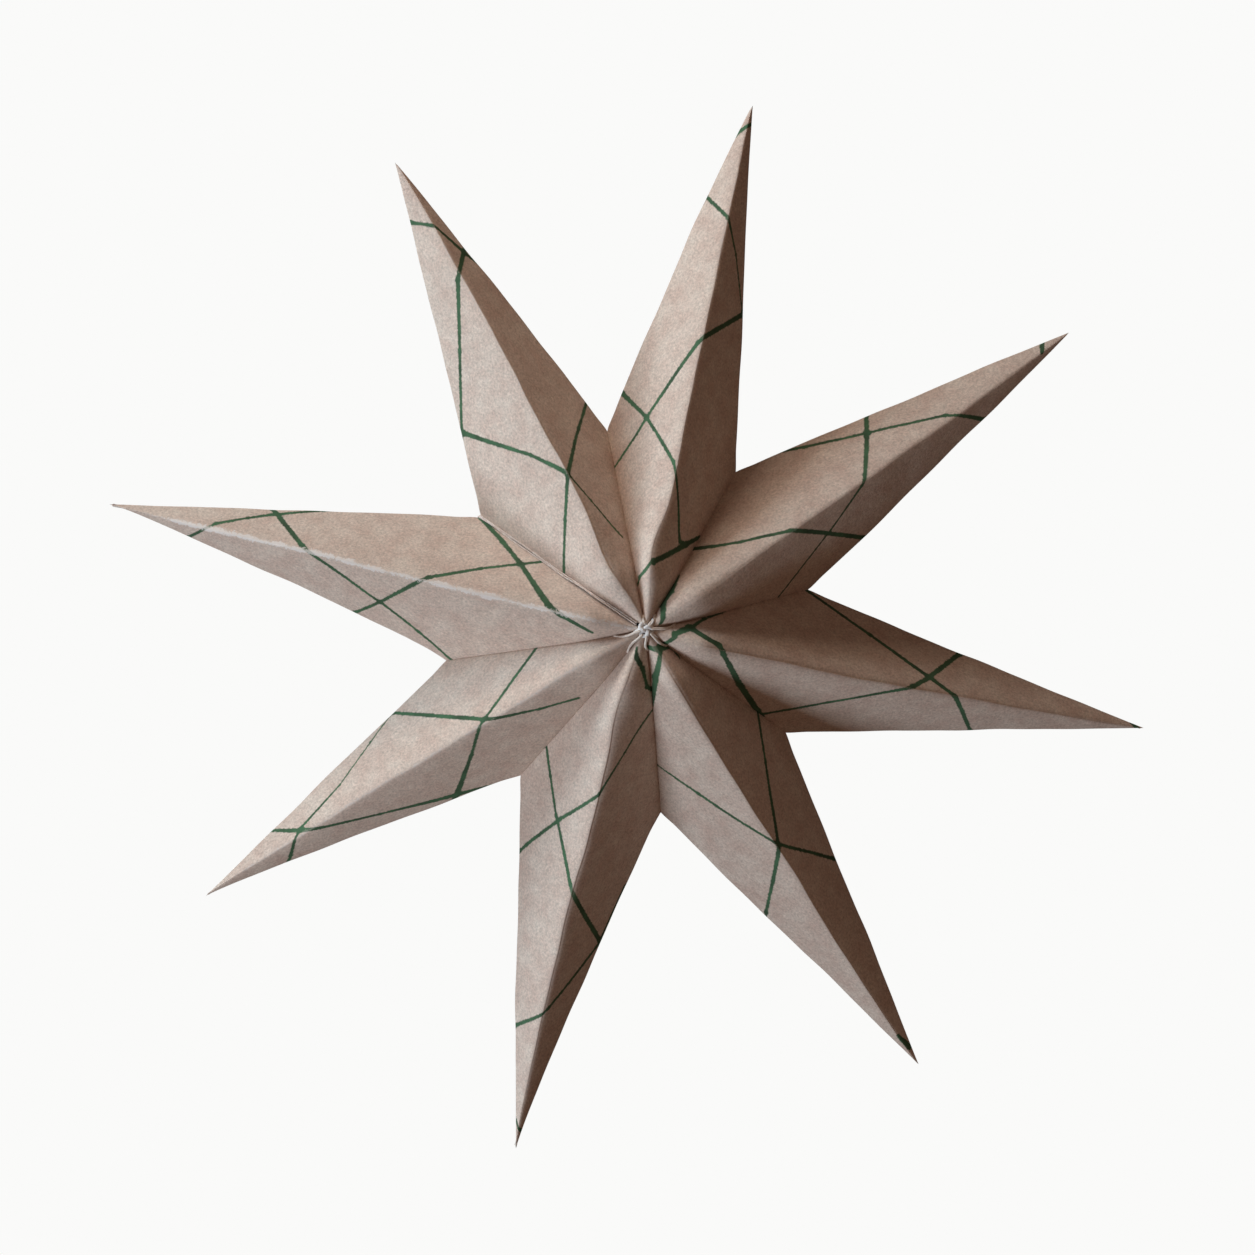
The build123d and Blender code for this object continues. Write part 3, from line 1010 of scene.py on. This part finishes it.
def add_lamp(name, distance, direction, elevation, colour_power):
    """A square soft box that faces the star's middle, given by its distance and its angles in degrees.

    colour_power is its power in red, green and blue. direction turns anticlockwise from +X.
    """
    lamp = bpy.data.lights.new(name, "AREA")
    lamp.size = SOFT_BOX_SIDE
    lamp.energy = max(colour_power)
    lamp.color = [share / max(colour_power) for share in colour_power]
    thing = bpy.data.objects.new(name, lamp)
    bpy.context.scene.collection.objects.link(thing)
    turn, lift = np.radians(direction), np.radians(elevation)
    middle = np.array([0, 0, MIDDLE])
    away = np.array([np.cos(turn) * np.cos(lift), np.sin(turn) * np.cos(lift), np.sin(lift)])
    aim(thing, middle + distance * away, middle)


class STAR_OT_stage(bpy.types.Operator):
    """Lay the floor and set the lamps and the camera"""

    bl_idname = "paper_star.stage"
    bl_label = "Stage"

    def execute(self, context):
        scene = context.scene
        half = FLOOR_SIDE / 2
        corners = np.array([[[-half, -half, 0], [-half, half, 0]], [[half, -half, 0], [half, half, 0]]])
        board = (corners, quads(2, 2, False), None, None)
        mesh_piece("floor", [board], [pale_floor(scene.star_colours)])
        add_lamp("Near soft box", 0.7, 145, 12, (1.93, 2.4, 2.66))
        add_lamp("Far soft box", 0.8, 215, 28, (2.6, 2.94, 3.24))
        add_lamp("Warm soft box", 0.8, 110, 12, (1.76, 1.45, 1.2))
        scene.world = dim_room(scene.star_colours)
        scene.view_settings.view_transform = "Standard"

        lens = bpy.data.cameras.new("Camera")
        camera = bpy.data.objects.new("Camera", lens)
        scene.collection.objects.link(camera)
        target = Vector((-3.2 * MM, -2.5 * MM, MIDDLE))
        distance, shown = 1.1, 358.6 * MM  # from the star's middle plane, and how wide the view is there
        aim(camera, target + distance * Vector((-0.054, 0.094, 1.0)).normalized(), target)
        lens.lens = lens.sensor_width * distance / shown
        lens.clip_start = 0.01
        scene.camera = camera
        return {"FINISHED"}


class STAR_PT_panel(bpy.types.Panel):
    """The star's pieces, sizes and colours"""

    bl_idname = "STAR_PT_panel"
    bl_label = "Paper Star"
    bl_space_type = "VIEW_3D"
    bl_region_type = "UI"
    bl_category = "Paper Star"

    def draw(self, context):
        layout = self.layout
        for operator in OPERATORS:
            layout.operator(operator.bl_idname)
        for group in (context.scene.star_sizes, context.scene.star_colours):
            box = layout.box()
            for name in group.__annotations__:
                box.prop(group, name)


OPERATORS = (STAR_OT_points, STAR_OT_raw_edges, STAR_OT_seam, STAR_OT_thread, STAR_OT_stage)
CLASSES = (StarSizes, StarColours, *OPERATORS, STAR_PT_panel)


def register():
    """Register the classes and put the properties on the scene."""
    for one in CLASSES:
        bpy.utils.register_class(one)
    bpy.types.Scene.star_sizes = PointerProperty(type=StarSizes)
    bpy.types.Scene.star_colours = PointerProperty(type=StarColours)


def unregister():
    """Take the properties and the classes away again."""
    del bpy.types.Scene.star_colours
    del bpy.types.Scene.star_sizes
    for one in reversed(CLASSES):
        bpy.utils.unregister_class(one)


def main():
    """Make every piece and the stage."""
    register()
    bpy.ops.paper_star.points()
    bpy.ops.paper_star.raw_edges()
    bpy.ops.paper_star.seam()
    bpy.ops.paper_star.thread()
    bpy.ops.paper_star.stage()


if __name__ == "__main__":
    main()
